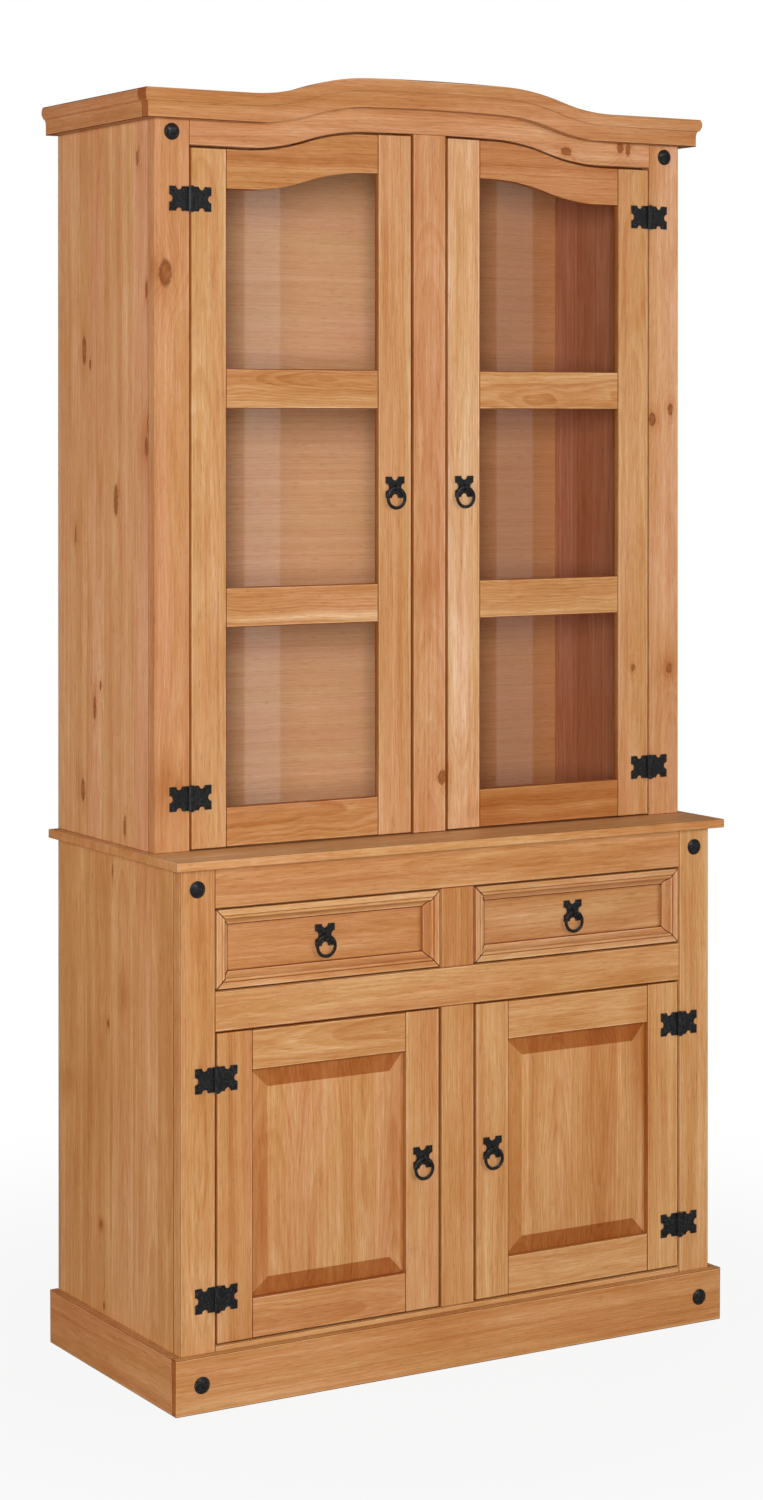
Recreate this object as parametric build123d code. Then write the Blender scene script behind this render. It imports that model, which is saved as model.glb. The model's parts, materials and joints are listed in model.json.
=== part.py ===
"""Trastero cabinet: a rustic pine cupboard with an arched, glazed hutch.

Millimetres. +X is the cabinet's right as seen from the front, -Y is the front, +Z is up.
The origin is on the floor, below the middle of the buffet top.
"""
from math import asin, cos, sin, sqrt
import os

from build123d import *

# ---------------------------------------------------------------- boards and joints
board = 19.0                # thickness of sides, stiles, rails, doors and shelves
back_board = 8.0            # thickness of the back panels
rebate_width = 9.5          # how far a back panel reaches into the sides
housing_depth = 6.0         # how deep shelves and floors sit in the sides
tenon_thickness = 6.5
tenon_length = 20.0
tenon_shoulder = 9.0        # rail edge to tenon edge
gap = 2.0                   # between a door and its frame
lock_gap = 3.0              # between a door and the centre stile
top_gap = 3.0               # between the hutch doors and the arched header
drawer_gap = 2.0            # between a drawer front and its frame

# ---------------------------------------------------------------- carcass
body_width = 906.0
base_depth = 400.0
top_overhang_front = 20.0
top_overhang_side = 15.5
top_thickness = 13.0
eased_edge = 1.5            # rounding of the top and plinth edges
hutch_setback = 78.0
stile_width = 55.0
centre_width = 57.0
bottom_rail_height = 86.5
base_door_opening = 437.0
mid_rail_height = 57.0
drawer_opening = 115.0
top_rail_height = 58.0
shelf_height = 290.0        # top of the shelf in the base
plinth_height = 79.0
plinth_board = 13.5

# ---------------------------------------------------------------- hutch and arch
hutch_opening = 998.0       # buffet top to the flat ends of the header
header_width = 68.0
arch_foot = 310.0           # where the arch leaves its flat ends, from the middle
arch_shoulder = 115.0       # where the S-curve meets the crown
arch_shoulder_rise = 31.5
arch_crown_rise = 1.5
cornice_lift = 35.0         # header's lower edge to the cornice's lower edge
cornice_height = 41.5
cornice_board = 19.5        # cornice thickness at its lower band
cornice_flat = 13.0         # height of the plain lower band
cove_height = 11.0
cove_depth = 3.5
nose_fillet = 1.2
nose_bulge = 2.4
roof_board = 16.0
roof_drop = 20.0            # roof's upper face below the cornice's flat top
side_drop = 6.0             # top of the sides below the cornice's flat top

# ---------------------------------------------------------------- doors
door_stop = 0.3             # back of a closed door to the shelf that stops it
door_stile = 57.0
door_rail = 57.0
groove_depth = 8.0
panel_margin = 1.0          # room for the panel to swell in its groove
panel_fit = 0.2             # panel tongue to each wall of its groove
panel_tongue = 5.6
panel_inset = 8.0           # door face to the front wall of the groove
field_inset = 3.0           # door face to the raised field
bevel_width = 25.5
glass_inset = 7.5           # door face to the glass
glass_thickness = 3.0
glass_groove = 8.0
glass_bead = 5.5            # door's inner edge to the edge of the wood behind the glass
glass_margin = 0.5          # edge of the glass to the bottom of its groove
glass_fit = 0.3             # glass to each wall of its groove

# ---------------------------------------------------------------- drawers
moulding_width = 23.5
moulding_depth = 17.0
moulding_lip = 8.5          # flat outer border of the moulding
bead_width = 5.5
bead_quirk = 1.6            # depth of the groove beside the bead
cove_start = 3.2            # depth of the moulding where its cove begins
moulding_edge = 12.0        # depth where the cove ends at the inner edge
drawer_face = 12.0          # thickness of the recessed front panel
drawer_side = 12.0
drawer_side_height = 90.0
drawer_lift = 4.5           # drawer front's lower edge to the box's lower edge
drawer_back_gap = 33.0      # back of the drawer box to the back panel
drawer_bottom = 6.0
drawer_bottom_lift = 6.0
drawer_groove = 5.0
drawer_side_gap = 0.6       # box side to its guide
runner_gap = 0.3            # box to the runner that carries it
runner_stop = 0.3           # back of the closed drawer front to the runner's step
runner_height = 22.0
runner_tread = 14.0         # width of runner under the box
guide_height = 18.0

# ---------------------------------------------------------------- ironwork
leaf_reach = 33.0           # hinge axis to the ears
leaf_height = 35.0
leaf_thickness = 2.0
leaf_notch = 4.8
leaf_notch_at = 18.0        # hinge axis to the notches in the long edges
ear_notch = 5.2
knuckle_radius = 4.5
knuckle_gap = 0.3           # between the knuckles of the two leaves
pin_radius = 1.7
pin_clearance = 0.05
pin_head = 1.2
hutch_hinge_inset = 73.0    # end of the door to the middle of the hinge
base_hinge_inset = 63.5
plate_size = 31.5
plate_thickness = 2.0
plate_notch = 5.6
ring_radius = 14.4          # to the middle of the wire
ring_wire = 2.4             # radius of the wire
eye_drop = 1.5              # plate's middle to the eye's middle
eye_clearance = 0.45        # ring's wire to the inside of the eye
eye_wire = 1.2              # radius of the eye's wire
eye_reach = 5.2             # plate's back to the eye's middle
hutch_pull_height = 511.0   # buffet top to the middle of the plate
base_pull_lift = 4.0        # door's middle to the plate's middle
drawer_pull_lift = 4.0      # drawer front's middle to the plate's middle
clavo_radius = 12.0
clavo_rim = 1.0             # straight edge below the dome
clavo_height = 6.5
clavo_shank = 2.0
clavo_shank_length = 12.0
clavo_hole_clearance = 0.2
clavo_inset = 27.0          # side of the cabinet to the clavo
base_clavo_drop = 29.0      # below the buffet top
hutch_clavo_lift = 18.0     # above the header's flat lower edge

# ---------------------------------------------------------------- derived places
half = body_width / 2
top_depth = base_depth + top_overhang_front
back_y = top_depth / 2
base_y = back_y - base_depth
hutch_y = base_y + hutch_setback
inside = half - board
frame_inside = half - stile_width
mid_half = centre_width / 2
panel_y = back_y - back_board

floor_top = bottom_rail_height
door_top = floor_top + base_door_opening
drawer_low = door_top + mid_rail_height
drawer_high = drawer_low + drawer_opening
base_top = drawer_high + top_rail_height
buffet = base_top + top_thickness
header_low = buffet + hutch_opening
cornice_low = header_low + cornice_lift
cornice_high = cornice_low + cornice_height
side_top = cornice_high - side_drop
roof_top = cornice_high - roof_drop

hutch_door_low = buffet + gap
hutch_door_flat = header_low - top_gap
glass_flat = hutch_door_flat - door_rail
glass_low = hutch_door_low + door_rail
pane_height = (glass_flat - glass_low - 2 * door_rail) / 3
cross_rails = [glass_low + pane_height, glass_low + 2 * pane_height + door_rail]
hutch_shelves = [low + (door_rail - board) / 2 for low in cross_rails]

base_door_low = floor_top + gap
base_door_high = door_top - gap
front_low = drawer_low + drawer_gap
front_high = drawer_high - drawer_gap
box_low = front_low + drawer_lift
box_y = moulding_depth + drawer_face
drawer_length = base_depth - back_board - box_y - drawer_back_gap

hinge_x = frame_inside - gap / 2
door_near = mid_half + lock_gap     # door edge next to the centre stile
door_far = frame_inside - gap       # door edge next to the outer stile
front_near = mid_half + drawer_gap
front_far = frame_inside - drawer_gap

left, right = -1, 1


# ---------------------------------------------------------------- helpers
def block(x, y, z):
    """Box between pairs of coordinates; each pair may be given in either order."""
    low = [min(pair) for pair in (x, y, z)]
    size = [max(pair) - min(pair) for pair in (x, y, z)]
    return Pos(*low) * Box(*size, align=(Align.MIN, Align.MIN, Align.MIN))


def front_plane(y):
    """Plane seen from the front, with local x to the right and local y up."""
    return Plane(origin=(0, y, 0), x_dir=(1, 0, 0), z_dir=(0, -1, 0))


def extrude_front(face, y_near, y_far):
    """Solid from a sketch in (x, z), between the two depths."""
    return extrude(front_plane(y_far) * face, y_far - y_near)


def upright(radius, z):
    """Cylinder about the Z axis, between two heights given in either order."""
    return Pos(0, 0, (z[0] + z[1]) / 2) * Cylinder(radius, abs(z[1] - z[0]))


def rail_tenon(x_end, into, y_face, z):
    """Tenon on a rail end at x_end, going `into` (-1 or 1) the stile."""
    y_low = y_face + (board - tenon_thickness) / 2
    x = (x_end, x_end + into * tenon_length)
    return block(x, (y_low, y_low + tenon_thickness), (z[0] + tenon_shoulder, z[1] - tenon_shoulder))


def rail(x, y_face, z):
    """Rail with a tenon at each end."""
    bar = block(x, (y_face, y_face + board), z)
    return bar + rail_tenon(x[0], -1, y_face, z) + rail_tenon(x[1], 1, y_face, z)


# ---------------------------------------------------------------- arch
def arch_edges(level, reach):
    """Serpentine arch from -reach to reach: flat ends, S-curves and a low crown, all tangent."""
    crown_radius = (arch_shoulder**2 + arch_crown_rise**2) / (2 * arch_crown_rise)
    tilt = asin(arch_shoulder / crown_radius)
    run = arch_foot - arch_shoulder
    rise = arch_shoulder_rise
    # one radius serves both halves of the S: it solves a quadratic in 1 / radius
    a = run**2 + rise**2
    b = run * sin(tilt) - rise * (1 + cos(tilt))
    c = 2 * cos(tilt) - 2
    curvature = (-b + sqrt(b * b - a * c)) / a
    radius = 1 / curvature
    steep = asin((run * curvature + sin(tilt)) / 2)

    def on_lower(angle):
        return arch_foot - radius * sin(angle), level + radius * (1 - cos(angle))

    def on_upper(angle):
        x = arch_shoulder + radius * (sin(angle) - sin(tilt))
        return x, level + rise - radius * (cos(tilt) - cos(angle))

    curve = [on_lower(0), on_lower(steep / 2), on_lower(steep), on_upper((steep + tilt) / 2), on_upper(tilt)]
    mirrored = [(-x, z) for x, z in curve]
    crown = (0, level + rise + arch_crown_rise)
    points = mirrored + [crown] + curve[::-1]
    arcs = [ThreePointArc(*points[i : i + 3]) for i in range(0, len(points) - 1, 2)]
    return [Line((-reach, level), points[0]), *arcs, Line(points[-1], (reach, level))]


def under_arch(level, y, x=None):
    """Solid below the arch, down to the buffet top, over the whole front or between two x."""
    reach = half
    sill = Polyline((reach, level), (reach, buffet), (-reach, buffet), (-reach, level))
    face = make_face(arch_edges(level, reach) + [sill])
    solid = extrude_front(face, *y)
    if x is None:
        return solid
    return solid & block(x, y, (buffet, level + 2 * arch_shoulder_rise))


# ---------------------------------------------------------------- carcass of the base
def carcass_side(side, y_front, z, boards):
    """Side board with a rebate for the back and housings for the boards that span the inside."""
    x_in = side * inside
    solid = block((side * half, x_in), (y_front, back_y), z)
    solid -= block((x_in, x_in + side * rebate_width), (panel_y, back_y), z)
    for low, high in boards:
        solid -= block((x_in, x_in + side * housing_depth), (y_front, panel_y), (low, high))
    return solid


def spanning_board(y_front, low, high):
    """Floor, shelf or roof board, housed in both sides."""
    reach = inside + housing_depth
    return block((-reach, reach), (y_front, panel_y), (low, high))


def carcass_back(low, high):
    reach = inside + rebate_width
    return block((-reach, reach), (panel_y, back_y), (low, high))


def stile(side, y_face, z, rails):
    """Outer stile with a mortise for each rail."""
    solid = block((side * half, side * frame_inside), (y_face, y_face + board), z)
    for rail_z in rails:
        solid -= rail_tenon(side * frame_inside, side, y_face, rail_z)
    return solid


def post_tenon(z_end, into, y_face):
    """Tenon on the end of a centre post, going up (1) or down (-1)."""
    y_low = y_face + (board - tenon_thickness) / 2
    reach = mid_half - tenon_shoulder
    z = (z_end, z_end + into * tenon_length)
    return block((-reach, reach), (y_low, y_low + tenon_thickness), z)


def post(y_face, z):
    """Centre post with a tenon at each end."""
    bar = block((-mid_half, mid_half), (y_face, y_face + board), z)
    return bar + post_tenon(z[0], -1, y_face) + post_tenon(z[1], 1, y_face)


bottom_rail_z = (plinth_height - board, floor_top)
mid_rail_z = (door_top, drawer_low)
top_rail_z = (drawer_high, base_top)
base_rails = [bottom_rail_z, mid_rail_z, top_rail_z]
floor_z = (floor_top - board, floor_top)
shelf_z = (shelf_height - board, shelf_height)
header_z = (header_low, header_low + header_width)
roof_z = (roof_top - roof_board, roof_top)
span = (-frame_inside, frame_inside)


def base_side(side):
    return carcass_side(side, base_y + board, (0, base_top), [floor_z, shelf_z])


def base_stile(side):
    solid = stile(side, base_y, (0, base_top), base_rails)
    return solid - clavo_hole(side, base_y, base_top - base_clavo_drop)


def base_bottom_rail():
    return rail(span, base_y, bottom_rail_z) - post_tenon(floor_top, -1, base_y)


def base_mid_rail():
    solid = rail(span, base_y, mid_rail_z)
    return solid - post_tenon(door_top, 1, base_y) - post_tenon(drawer_low, -1, base_y)


def base_top_rail():
    return rail(span, base_y, top_rail_z) - post_tenon(drawer_high, 1, base_y)


def base_shelf():
    """Its front edge stops the doors."""
    return spanning_board(base_y + board + door_stop, *shelf_z)


def runner(tread_x, guide_x):
    """Tread that carries a drawer box, with a guide on top and a step that stops the drawer front."""
    top = box_low - runner_gap
    y = (base_y + board, panel_y)
    step_y = base_y + box_y + runner_stop
    solid = block(tread_x, y, (top - runner_height, top)) + block(guide_x, y, (top, top + guide_height))
    return solid - block(tread_x, (base_y + board, step_y), (front_low - drawer_gap, top + guide_height))


def side_runner(side):
    """Runner along the side of the base."""
    wall = side * inside
    guide = side * (front_far + drawer_side_gap)
    tread = side * (front_far - drawer_side_gap - runner_tread)
    return runner((wall, tread), (wall, guide))


def centre_runner():
    """Runner behind the divider, for both boxes."""
    guide = front_near - drawer_side_gap
    tread = front_near + drawer_side_gap + runner_tread
    return runner((-tread, tread), (-guide, guide))


def buffet_top():
    x = half + top_overhang_side
    solid = block((-x, x), (base_y - top_overhang_front, back_y), (base_top, buffet))
    outer = solid.edges().group_by(Axis.Z)[-1] - solid.edges().group_by(Axis.Y)[-1]
    return fillet(outer, eased_edge)


# ---------------------------------------------------------------- plinth
def plinth_front():
    x = half + plinth_board
    solid = block((-x, x), (base_y - plinth_board, base_y), (0, plinth_height))
    for side in (left, right):
        solid -= clavo_hole(side, base_y - plinth_board, plinth_height / 2)
    rim = solid.edges().filter_by(Axis.X).sort_by(Axis.Z)[-2:].sort_by(Axis.Y)[0]
    return fillet(rim, eased_edge)


def plinth_return(side):
    x = (side * half, side * (half + plinth_board))
    solid = block(x, (base_y, back_y), (0, plinth_height))
    rim = solid.edges().filter_by(Axis.Y).group_by(Axis.Z)[-1].sort_by(Axis.X)
    return fillet(rim[-1] if side == right else rim[0], eased_edge)


# ---------------------------------------------------------------- hutch
def hutch_side(side):
    boards = [roof_z] + [(low, low + board) for low in hutch_shelves]
    return carcass_side(side, hutch_y + board, (buffet, side_top), boards)


def hutch_stile(side):
    solid = stile(side, hutch_y, (buffet, side_top), [header_z])
    return solid - clavo_hole(side, hutch_y, header_low + hutch_clavo_lift)


def crown_tenon():
    """Tenon of the centre stile, into the crown of the header."""
    low = header_low + arch_shoulder_rise
    return post_tenon(low, 1, hutch_y)


def hutch_centre_stile():
    bar = under_arch(header_low, (hutch_y, hutch_y + board), (-mid_half, mid_half))
    return bar + crown_tenon()


def hutch_header():
    """Arched board between the stiles, tenoned into them."""
    y = (hutch_y, hutch_y + board)
    solid = under_arch(header_z[1], y, span) - under_arch(header_low, y)
    for side in (left, right):
        solid += rail_tenon(side * frame_inside, side, hutch_y, header_z)
    return solid - crown_tenon()


def hutch_shelf(low):
    """Shelf behind a cross rail; its front edge stops the doors."""
    return spanning_board(hutch_y + board + door_stop, low, low + board)


# ---------------------------------------------------------------- cornice
def cornice_profile():
    """Section of the moulding: plain band, cove, fillet and nose; x is outward, y is up."""
    cove_top = cornice_flat + cove_height
    cove_out = cornice_board + cove_depth
    nose_low = (cove_out + nose_fillet, cove_top + nose_fillet)
    nose_top = (cove_out + nose_fillet, cornice_height)
    bulge = (cove_out + nose_fillet + nose_bulge, (nose_low[1] + cornice_height) / 2)
    outline = [
        Polyline((0, 0), (cornice_board, 0), (cornice_board, cornice_flat)),
        EllipticalCenterArc((cove_out, cornice_flat), cove_depth, cove_height, 180, arc_size=-90),
        Polyline((cove_out, cove_top), (nose_low[0], cove_top), nose_low),
        ThreePointArc(nose_low, bulge, nose_top),
        Polyline(nose_top, (0, cornice_height), (0, 0)),
    ]
    return make_face(outline)


def cornice_return(side):
    """Moulding along the side of the hutch, behind the front moulding."""
    plane = Plane(origin=(-half, hutch_y, cornice_low), x_dir=(-1, 0, 0), z_dir=(0, 1, 0))
    solid = extrude(plane * cornice_profile(), back_y - hutch_y)
    return solid if side == left else mirror(solid, about=Plane.YZ)


def cornice_front():
    """Moulding swept along the arch; its ends are cut to the section of the returns."""
    overrun = cornice_board + cove_depth + nose_fillet + nose_bulge
    reach = half + overrun
    path = front_plane(hutch_y) * Wire(arch_edges(cornice_low, reach))
    plane = Plane(origin=(-reach, hutch_y, cornice_low), x_dir=(0, -1, 0), z_dir=(-1, 0, 0))
    solid = sweep(plane * cornice_profile(), path=path)
    y = (hutch_y - overrun, hutch_y)
    end = extrude_front(Pos(half, cornice_low) * cornice_profile(), *y)
    middle = block((-half, half), y, (cornice_low, cornice_high + 2 * arch_shoulder_rise))
    return solid & (middle + end + mirror(end, about=Plane.YZ))


# ---------------------------------------------------------------- doors
def door_span(side, grow=0):
    """The two x between the stiles of a door, lower one first, widened by `grow` at each end."""
    x = [side * (door_near + door_stile - grow), side * (door_far - door_stile + grow)]
    return min(x), max(x)


def door_stiles(side, y_face, z, rails):
    """Lock stile and hinge stile, mortised for the rails."""
    edges = [(door_near, door_near + door_stile, -side), (door_far, door_far - door_stile, side)]
    solids = []
    for outer, inner, into in edges:
        solid = block((side * outer, side * inner), (y_face, y_face + board), z)
        for rail_z in rails:
            solid -= rail_tenon(side * inner, into, y_face, rail_z)
        solids.append(solid)
    return solids


# ---------------------------------------------------------------- base doors
base_panel_z = (base_door_low + door_rail, base_door_high - door_rail)
base_door_rails = [(base_door_low, base_panel_z[0]), (base_panel_z[1], base_door_high)]


def panel_space(side, grow, y):
    """Opening of a base door's frame between two depths, grown on every side."""
    return block(door_span(side, grow), y, (base_panel_z[0] - grow, base_panel_z[1] + grow))


def panel_groove(side):
    """Groove around the inside of the frame, as the block that cuts it."""
    y_low = base_y + panel_inset
    return panel_space(side, groove_depth, (y_low, y_low + panel_tongue + 2 * panel_fit))


def base_door_stiles(side):
    z = (base_door_low, base_door_high)
    return [solid - panel_groove(side) for solid in door_stiles(side, base_y, z, base_door_rails)]


def base_door_cross(side):
    """Top and bottom rail."""
    return [rail(door_span(side), base_y, z) - panel_groove(side) for z in base_door_rails]


def base_door_panel(side):
    """Raised and fielded panel: bevels rise from the frame to a flat field."""
    y_tongue = base_y + panel_inset + panel_fit
    slab = panel_space(side, groove_depth - panel_margin, (y_tongue, y_tongue + panel_tongue))
    x_low, x_high = door_span(side)
    z_low, z_high = base_panel_z
    width, height = x_high - x_low, z_high - z_low
    middle = Pos((x_low + x_high) / 2, (z_low + z_high) / 2)
    foot = front_plane(y_tongue) * middle * Rectangle(width, height)
    field = Rectangle(width - 2 * bevel_width, height - 2 * bevel_width)
    return slab + loft([foot, front_plane(base_y + field_inset) * middle * field])


# ---------------------------------------------------------------- hutch doors
hutch_bottom_rail_z = (hutch_door_low, glass_low)
hutch_door_rails = [hutch_bottom_rail_z] + [(low, low + door_rail) for low in cross_rails]
pane_lows = [glass_low] + [low + door_rail for low in cross_rails]


def pane_spaces(side, grow, y):
    """Three openings between the rails, grown on every side; the top one follows the arch."""
    x = door_span(side, grow)
    plain = [block(x, y, (low - grow, low + pane_height + grow)) for low in pane_lows[:2]]
    arched = under_arch(glass_flat + grow, y, x) & block(x, y, (pane_lows[2] - grow, cornice_high))
    return plain + [arched]


def glass_grooves(side):
    """Blocks that cut the glass grooves, and that set the wood behind the glass back from view."""
    y_low = hutch_y + glass_inset
    y_high = y_low + glass_thickness + 2 * glass_fit
    behind = pane_spaces(side, glass_bead, (y_high, hutch_y + board))
    return pane_spaces(side, glass_groove, (y_low, y_high)) + behind


def arch_rail_tenon(side, near_lock):
    """Tenon at one end of the arched rail; the lock end lies higher, at the crown."""
    if near_lock:
        x_end, into = side * (door_near + door_stile), -side
        low = glass_flat + arch_shoulder_rise
    else:
        x_end, into = side * (door_far - door_stile), side
        low = glass_flat
    return rail_tenon(x_end, into, hutch_y, (low, low + door_rail))


def hutch_door_stiles(side):
    """Lock stile and hinge stile; their tops follow the arch."""
    z = (hutch_door_low, hutch_door_flat + 2 * arch_shoulder_rise)
    outline = under_arch(hutch_door_flat, (hutch_y, hutch_y + board))
    solids = []
    for solid, near_lock in zip(door_stiles(side, hutch_y, z, hutch_door_rails), (True, False)):
        solids.append((solid & outline) - arch_rail_tenon(side, near_lock) - glass_grooves(side))
    return solids


def hutch_door_arch_rail(side):
    y = (hutch_y, hutch_y + board)
    solid = under_arch(hutch_door_flat, y, door_span(side)) - under_arch(glass_flat, y)
    solid += arch_rail_tenon(side, True) + arch_rail_tenon(side, False)
    return solid - glass_grooves(side)


def hutch_door_cross_rails(side):
    """Bottom rail and the two rails that divide the glass."""
    return [rail(door_span(side), hutch_y, z) - glass_grooves(side) for z in hutch_door_rails]


def hutch_door_panes(side):
    """Three panes, let into the grooves of stiles and rails."""
    y_low = hutch_y + glass_inset + glass_fit
    return pane_spaces(side, glass_groove - glass_margin, (y_low, y_low + glass_thickness))


# ---------------------------------------------------------------- drawers
def drawer_span(side):
    x = [side * front_near, side * front_far]
    return min(x), max(x)


def moulding_profile():
    """Section of the drawer moulding; x runs inward from the outer edge, y into the drawer."""
    quirk = (moulding_lip, 0)
    bead_start = (moulding_lip + bead_quirk / 2, bead_quirk)
    bead_top = (moulding_lip + bead_width / 2, 0)
    bead_end = (moulding_lip + bead_width, bead_quirk)
    cove_low = (moulding_lip + bead_width, cove_start)
    edge = (moulding_width, moulding_edge)
    cove_middle = ((cove_low[0] + edge[0]) / 2 - 1, (cove_low[1] + edge[1]) / 2 + 1)
    outline = [
        Polyline((0, 0), quirk, bead_start),
        ThreePointArc(bead_start, bead_top, bead_end),
        Line(bead_end, cove_low),
        ThreePointArc(cove_low, cove_middle, edge),
        Polyline(edge, (moulding_width, moulding_depth), (0, moulding_depth), (0, 0)),
    ]
    return make_face(outline)


def moulding_length(start, end, inward):
    """One mitred length, from corner to corner of the drawer front."""
    start, end, inward = Vector(*start), Vector(*end), Vector(*inward)
    along = (end - start).normalized()
    plane = Plane(origin=start, x_dir=inward, z_dir=inward.cross(Vector(0, 1, 0)))
    bar = extrude(plane * moulding_profile(), (end - start).length, dir=along)
    mitre = moulding_width
    corners = [start, end, end + (inward - along) * mitre, start + (inward + along) * mitre]
    wedge = extrude(make_face(Polyline(*corners, close=True)), moulding_depth, dir=(0, 1, 0))
    return bar & wedge


def drawer_moulding(side):
    """Mitred frame of four lengths."""
    x_low, x_high = drawer_span(side)
    corners = [
        (x_low, base_y, front_low),
        (x_high, base_y, front_low),
        (x_high, base_y, front_high),
        (x_low, base_y, front_high),
    ]
    inward = [(0, 0, 1), (-1, 0, 0), (0, 0, -1), (1, 0, 0)]
    return [moulding_length(corners[i], corners[(i + 1) % 4], inward[i]) for i in range(4)]


def drawer_bottom_cut(side):
    """Groove in the sides and the front for the bottom board."""
    x_low, x_high = drawer_span(side)
    low = box_low + drawer_bottom_lift
    inset = drawer_side + drawer_side_gap - drawer_groove
    y = (base_y + box_y - drawer_groove, base_y + box_y + drawer_length)
    return block((x_low + inset, x_high - inset), y, (low, low + drawer_bottom))


def drawer_front(side):
    """Flat board behind the moulding; it carries the sides."""
    y = (base_y + moulding_depth, base_y + box_y)
    return block(drawer_span(side), y, (front_low, front_high)) - drawer_bottom_cut(side)


def drawer_box(side):
    """Two sides, the back and the bottom."""
    x_low, x_high = drawer_span(side)
    y = (base_y + box_y, base_y + box_y + drawer_length)
    z = (box_low, box_low + drawer_side_height)
    groove = drawer_bottom_cut(side)
    outer = [(x_low + drawer_side_gap, 1), (x_high - drawer_side_gap, -1)]
    sides = [block((x, x + into * drawer_side), y, z) - groove for x, into in outer]
    inner = drawer_side + drawer_side_gap
    back_z = (box_low + drawer_bottom_lift + drawer_bottom, z[1])
    back = block((x_low + inner, x_high - inner), (y[1] - drawer_side, y[1]), back_z)
    return sides + [back, groove]


# ---------------------------------------------------------------- ironwork
def clavo_hole(side, y_face, z):
    """Pilot hole for a clavo's shank."""
    hole = upright(clavo_shank + clavo_hole_clearance, (0, clavo_shank_length))
    return Pos(side * (half - clavo_inset), y_face, z) * Rot(X=-90) * hole


def clavo(side, y_face, z):
    """Domed stud with its shank."""
    dome_rise = clavo_height - clavo_rim
    dome = (clavo_radius**2 + dome_rise**2) / (2 * dome_rise)
    slope = asin(clavo_radius / dome) / 2
    foot = (clavo_shank, -clavo_shank_length)
    rim = (clavo_radius, clavo_rim)
    between = (dome * sin(slope), clavo_height - dome * (1 - cos(slope)))
    profile = [
        Polyline((0, clavo_height), (0, foot[1]), foot, (clavo_shank, 0), (clavo_radius, 0), rim),
        ThreePointArc(rim, between, (0, clavo_height)),
    ]
    stud = revolve(Plane.XZ * make_face(profile), Axis.Z)
    return Pos(side * (half - clavo_inset), y_face, z) * Rot(X=90) * stud


def clavos():
    heights = [
        (hutch_y, header_low + hutch_clavo_lift),
        (base_y, base_top - base_clavo_drop),
        (base_y - plinth_board, plinth_height / 2),
    ]
    return [clavo(side, y_face, z) for side in (left, right) for y_face, z in heights]


def hinge_leaf(outer_knuckles):
    """Butterfly leaf that reaches along +x from the hinge axis, with its own knuckles.

    The axis is Z through the origin; the wood's face lies at y = knuckle_radius.
    """
    half_height = leaf_height / 2
    face_y = knuckle_radius
    outline = Pos(leaf_reach / 2, 0) * Rectangle(leaf_reach, leaf_height)
    for z in (-half_height, half_height):
        outline -= Pos(leaf_notch_at, z) * Circle(leaf_notch)
    outline -= Pos(leaf_reach, 0) * Circle(ear_notch)
    leaf = extrude_front(outline, face_y - leaf_thickness, face_y)
    middle = leaf_height / 6
    inner = [(-middle, middle)]
    outer = [(-half_height, -middle - knuckle_gap), (middle + knuckle_gap, half_height)]
    if outer_knuckles:
        own, cleared = outer, [(-middle - knuckle_gap, middle + knuckle_gap)]
    else:
        own, cleared = inner, [(-half_height, -middle), (middle, half_height)]
    for z in cleared:
        leaf -= upright(knuckle_radius + knuckle_gap, z)
    leaf += [upright(knuckle_radius, z) for z in own]
    return leaf - upright(pin_radius + pin_clearance, (-half_height, half_height))


def hinge_pin():
    """Pin with a small head at each end."""
    end = leaf_height / 2 + pin_head
    heads = [upright(pin_radius + pin_head, (side * (end - pin_head), side * end)) for side in (-1, 1)]
    return upright(pin_radius, (-end, end)) + heads


def hinge_places(side, upper):
    """Axis points of the two hinges of one door."""
    if upper:
        low, high, inset, y_face = hutch_door_low, hutch_door_flat, hutch_hinge_inset, hutch_y
    else:
        low, high, inset, y_face = base_door_low, base_door_high, base_hinge_inset, base_y
    return [Pos(side * hinge_x, y_face - knuckle_radius, z) for z in (low + inset, high - inset)]


def frame_hinges():
    """Leaves on the stiles, and the pins."""
    solids = []
    for side in (left, right):
        leaf = hinge_leaf(True)
        if side == left:
            leaf = mirror(leaf, about=Plane.YZ)
        for place in hinge_places(side, True) + hinge_places(side, False):
            solids += [place * leaf, place * hinge_pin()]
    return solids


def door_ironwork(side, upper):
    """Two leaves and the pull plate of one door."""
    leaf = hinge_leaf(False)
    if side == right:
        leaf = mirror(leaf, about=Plane.YZ)
    x, y_face, z = pull_place(side, "hutch" if upper else "base")
    return [place * leaf for place in hinge_places(side, upper)] + [Pos(x, y_face, z) * pull_plate()]


def pull_place(side, where):
    """Middle of a pull plate, on the face that carries it."""
    lock_x = side * (door_near + door_stile / 2)
    if where == "hutch":
        return lock_x, hutch_y, buffet + hutch_pull_height
    if where == "base":
        return lock_x, base_y, (base_door_low + base_door_high) / 2 + base_pull_lift
    middle_x = side * (front_near + front_far) / 2
    return middle_x, base_y + moulding_depth, (front_low + front_high) / 2 + drawer_pull_lift


def pull_plate():
    """X-shaped plate with an eye; the carrying face is y = 0."""
    outline = Rectangle(plate_size, plate_size)
    for x, z in ((1, 0), (-1, 0), (0, 1), (0, -1)):
        outline -= Pos(x * plate_size / 2, z * plate_size / 2) * Circle(plate_notch)
    eye = Torus(ring_wire + eye_clearance + eye_wire, eye_wire)
    plate = extrude_front(outline, -plate_thickness, 0)
    return plate + Pos(0, -eye_reach, -eye_drop) * Rot(Y=90) * eye


def ring(side, where):
    """Hanging ring; its wire passes through the eye at the top."""
    x, y_face, z = pull_place(side, where)
    hoop = Rot(X=90) * Torus(ring_radius, ring_wire)
    return Pos(x, y_face - eye_reach, z - eye_drop - ring_radius) * hoop


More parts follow.
